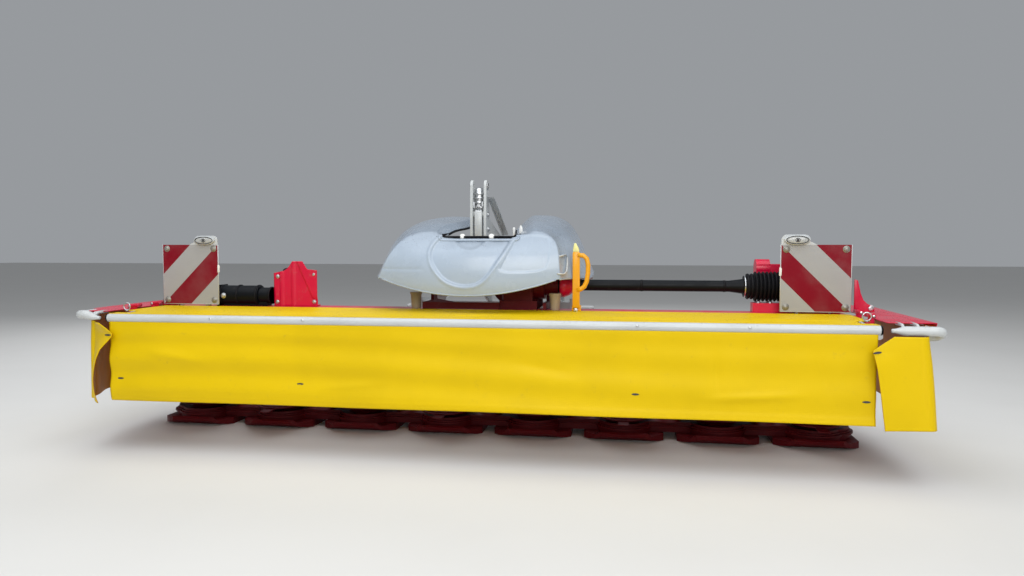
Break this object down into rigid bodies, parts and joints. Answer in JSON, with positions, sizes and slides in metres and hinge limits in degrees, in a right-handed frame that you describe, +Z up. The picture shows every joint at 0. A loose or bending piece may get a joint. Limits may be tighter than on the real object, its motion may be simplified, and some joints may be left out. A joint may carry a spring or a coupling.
{
  "type": "front-mounted disc mower",
  "caption": "Wide front-mounted disc mower with a moulded hood, tarpaulin guards, folding side guards and warning boards.",
  "frame": {"origin": "bottom centre of the box around the parked mower, on the ground", "axes": "+X to the right in the picture, along the cutter bar; +Y to the tractor; +Z up"},
  "size_m": [3.5666, 1.16, 1.1899],
  "materials": {
    "red_paint": "gloss",
    "dark_red_paint": "satin",
    "grey_paint": "gloss",
    "grey_shell": "gloss",
    "yellow_tarpaulin": "coated, satin",
    "board_sheet": "retroreflective",
    "lamp_lens": "gloss",
    "dark_steel": "satin",
    "bright_steel": "zinc plated",
    "black_rubber": "matt",
    "black_plastic": "satin",
    "cream_paint": "satin",
    "orange_paint": "gloss"
  },
  "bodies": {
    "mower": {"cutter_bar": "dark_red_paint", "skids": "dark_red_paint", "cross_beam": "red_paint", "carrier_left": "red_paint", "carrier_right": "red_paint", "deck_frame": "red_paint", "deck_cover": "yellow_tarpaulin", "side_gearbox": "red_paint", "drive_bellows": "black_rubber", "shaft_guard": "black_plastic", "centre_gearbox": "red_paint", "lift_frame": "red_paint", "float_legs": "cream_paint", "float_springs": "bright_steel", "headstock": "grey_paint", "mast": "grey_paint", "top_link_hook": "bright_steel", "mast_strut": "grey_paint", "hood": "grey_shell", "blade_lever": "orange_paint", "storage_tube": "black_plastic", "cover_plate": "red_paint", "board_left": "board_sheet", "board_right": "board_sheet", "lamp_left": "lamp_lens", "lamp_right": "lamp_lens"},
    "front_guard": {"front_guard": "grey_paint", "guard_cover": "yellow_tarpaulin", "lock_rings": "bright_steel"},
    "front_curtain": {"front_curtain": "yellow_tarpaulin"},
    "side_guard_left": {"side_guard_left": "red_paint"},
    "side_guard_right": {"side_guard_right": "red_paint"},
    "side_curtain_left": {"side_curtain_left": "yellow_tarpaulin"},
    "side_curtain_right": {"side_curtain_right": "yellow_tarpaulin"},
    "input_shaft": {"input_shaft": "bright_steel"},
    "stand_left": {"stand_left": "dark_steel"},
    "stand_right": {"stand_right": "dark_steel"},
    "disc_1": {"disc_1": "dark_red_paint"},
    "disc_2": {"disc_2": "dark_red_paint"},
    "disc_3": {"disc_3": "dark_red_paint"},
    "disc_4": {"disc_4": "dark_red_paint"},
    "disc_5": {"disc_5": "dark_red_paint"},
    "disc_6": {"disc_6": "dark_red_paint"},
    "disc_7": {"disc_7": "dark_red_paint"},
    "disc_8": {"disc_8": "dark_red_paint"}
  },
  "joints": [
    {"name": "guard_lift", "type": "hinge", "parent": "mower", "child": "front_guard", "pos_m": [0, -0.4, 0.582], "axis": [-1, 0, 0], "range_deg": [0, 85]},
    {"name": "curtain_hang", "type": "hinge", "parent": "front_guard", "child": "front_curtain", "pos_m": [0, -0.55, 0.575], "axis": [-1, 0, 0], "range_deg": [-85, 0]},
    {"name": "side_fold_left", "type": "hinge", "parent": "mower", "child": "side_guard_left", "pos_m": [-1.592, 0, 0.61], "axis": [0, 1, 0], "range_deg": [0, 90]},
    {"name": "side_hang_left", "type": "hinge", "parent": "side_guard_left", "child": "side_curtain_left", "pos_m": [-1.762, 0, 0.575], "axis": [0, 1, 0], "range_deg": [-90, 0]},
    {"name": "side_fold_right", "type": "hinge", "parent": "mower", "child": "side_guard_right", "pos_m": [1.592, 0, 0.61], "axis": [0, -1, 0], "range_deg": [0, 90]},
    {"name": "side_hang_right", "type": "hinge", "parent": "side_guard_right", "child": "side_curtain_right", "pos_m": [1.762, 0, 0.575], "axis": [0, -1, 0], "range_deg": [-90, 0]},
    {"name": "disc_1_spin", "type": "hinge", "parent": "mower", "child": "disc_1", "pos_m": [-1.47, 0.07, 0.09], "axis": [0, 0, 1], "continuous": true},
    {"name": "disc_2_spin", "type": "hinge", "parent": "mower", "child": "disc_2", "pos_m": [-1.05, 0.07, 0.09], "axis": [0, 0, 1], "continuous": true},
    {"name": "disc_3_spin", "type": "hinge", "parent": "mower", "child": "disc_3", "pos_m": [-0.63, 0.07, 0.09], "axis": [0, 0, 1], "continuous": true},
    {"name": "disc_4_spin", "type": "hinge", "parent": "mower", "child": "disc_4", "pos_m": [-0.21, 0.07, 0.09], "axis": [0, 0, 1], "continuous": true},
    {"name": "disc_5_spin", "type": "hinge", "parent": "mower", "child": "disc_5", "pos_m": [0.21, 0.07, 0.09], "axis": [0, 0, 1], "continuous": true},
    {"name": "disc_6_spin", "type": "hinge", "parent": "mower", "child": "disc_6", "pos_m": [0.63, 0.07, 0.09], "axis": [0, 0, 1], "continuous": true},
    {"name": "disc_7_spin", "type": "hinge", "parent": "mower", "child": "disc_7", "pos_m": [1.05, 0.07, 0.09], "axis": [0, 0, 1], "continuous": true},
    {"name": "disc_8_spin", "type": "hinge", "parent": "mower", "child": "disc_8", "pos_m": [1.47, 0.07, 0.09], "axis": [0, 0, 1], "continuous": true},
    {"name": "input_spin", "type": "hinge", "parent": "mower", "child": "input_shaft", "pos_m": [0.075, 0.2, 0.68], "axis": [0, 1, 0], "continuous": true},
    {"name": "stand_slide_left", "type": "slide", "parent": "mower", "child": "stand_left", "axis": [0, 0, 1], "range_m": [0, 0.26]},
    {"name": "stand_slide_right", "type": "slide", "parent": "mower", "child": "stand_right", "axis": [0, 0, 1], "range_m": [0, 0.26]}
  ],
  "couplings": [
    {"joint": "curtain_hang", "follows": "guard_lift", "ratio": -1},
    {"joint": "side_hang_left", "follows": "side_fold_left", "ratio": -1},
    {"joint": "side_hang_right", "follows": "side_fold_right", "ratio": -1},
    {"joint": "disc_2_spin", "follows": "disc_1_spin", "ratio": -1},
    {"joint": "disc_3_spin", "follows": "disc_1_spin", "ratio": 1},
    {"joint": "disc_4_spin", "follows": "disc_1_spin", "ratio": -1},
    {"joint": "disc_5_spin", "follows": "disc_1_spin", "ratio": 1},
    {"joint": "disc_6_spin", "follows": "disc_1_spin", "ratio": -1},
    {"joint": "disc_7_spin", "follows": "disc_1_spin", "ratio": 1},
    {"joint": "disc_8_spin", "follows": "disc_1_spin", "ratio": -1},
    {"joint": "input_spin", "follows": "disc_1_spin", "ratio": 0.3333}
  ]
}
